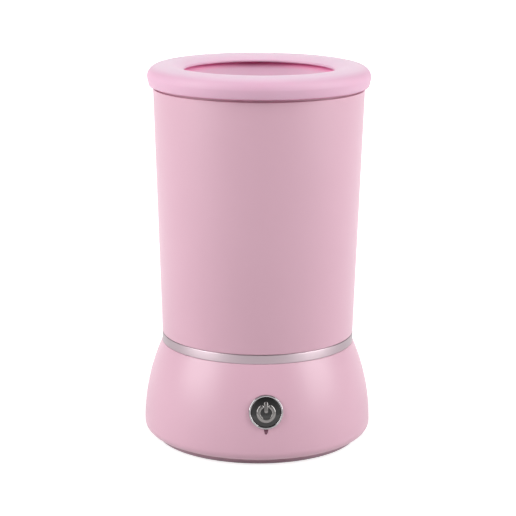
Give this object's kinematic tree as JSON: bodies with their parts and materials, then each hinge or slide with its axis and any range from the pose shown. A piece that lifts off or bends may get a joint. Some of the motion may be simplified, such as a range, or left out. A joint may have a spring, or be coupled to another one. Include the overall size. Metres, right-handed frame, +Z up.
{
  "type": "make-up brush cleaner",
  "caption": "Electric make-up brush cleaner: a silicone pad spins in a tapered pink wash cup with a soft splash lid, on a flared base with a power button",
  "frame": {"origin": "on the floor under the centre of the base", "axes": "+Z up along the axis of the cup, -Y out of the side with the power button, +Y out of the side with the charging socket"},
  "size_m": [0.0912, 0.0914, 0.1507],
  "materials": {
    "lid_silicone": "soft satin silicone",
    "pink_plastic": "satin moulded plastic",
    "metallised_trim": "satin metallised plastic",
    "foot_rubber": "matt rubber",
    "gunmetal_cap": "gloss",
    "bright_plating": "bright plated",
    "plum_lens": "gloss tinted",
    "steel": "plain steel",
    "sintered_bronze": "matt",
    "copper_alloy": "plain",
    "white_nylon": "matt",
    "black_plastic": "matt",
    "circuit_board": "solder mask",
    "black_rubber": "matt rubber",
    "ferrite": "matt ferrite",
    "winding": "enamelled wire on a steel core",
    "cell_wrap": "shrink wrap",
    "red_insulation": "satin insulation",
    "black_insulation": "satin insulation",
    "pad_silicone": "soft satin silicone"
  },
  "bodies": {
    "base": {"base_shell": "pink_plastic", "trim_ring": "metallised_trim", "bottom_cover": "pink_plastic", "foot_ring": "foot_rubber", "cover_screws": "steel", "button_bezel": "bright_plating", "indicator_lens": "plum_lens", "control_board": "circuit_board", "control_chip": "black_plastic", "indicator_led": "white_nylon", "tact_switch": "black_plastic", "board_screws": "steel", "motor_can": "steel", "motor_end_cap": "white_nylon", "motor_magnets": "ferrite", "motor_terminals": "copper_alloy", "motor_gasket": "black_rubber", "motor_screws": "steel", "battery_cell": "cell_wrap", "battery_tabs": "steel", "usb_socket": "steel", "usb_tongue": "black_plastic", "charge_board": "circuit_board", "charge_board_screws": "steel", "red_leads": "red_insulation", "black_leads": "black_insulation"},
    "cup": {"cup_shell": "pink_plastic", "spindle_bush": "sintered_bronze", "lip_seal": "black_rubber"},
    "lid": {"lid_ring": "lid_silicone"},
    "spinner": {"spindle": "steel", "pad_carrier": "white_nylon", "scrub_pad": "pad_silicone", "driven_dog": "white_nylon", "thrust_washer": "white_nylon"},
    "rotor": {"motor_shaft": "steel", "armature": "winding", "commutator": "copper_alloy", "drive_dog": "black_plastic"},
    "button": {"power_button": "gunmetal_cap", "power_symbol": "bright_plating", "switch_plunger": "black_plastic"}
  },
  "joints": [
    {"name": "cup_lift", "type": "slide", "parent": "base", "child": "cup", "axis": [0, 0, 1], "range_m": [0, 0.04]},
    {"name": "lid_lift", "type": "slide", "parent": "cup", "child": "lid", "axis": [0, 0, 1], "range_m": [0, 0.03]},
    {"name": "spinner_spin", "type": "hinge", "parent": "cup", "child": "spinner", "pos_m": [0, 0, 0.06], "axis": [0, 0, 1], "continuous": true},
    {"name": "motor_spin", "type": "hinge", "parent": "base", "child": "rotor", "pos_m": [0, 0, 0.03], "axis": [0, 0, 1], "continuous": true},
    {"name": "button_press", "type": "slide", "parent": "base", "child": "button", "axis": [0, 0.9806, -0.1961], "range_m": [0, 0.0008], "stiffness_N_per_m": 600, "springref_m": -0.002}
  ],
  "couplings": [
    {"joint": "motor_spin", "follows": "spinner_spin", "ratio": 1}
  ]
}
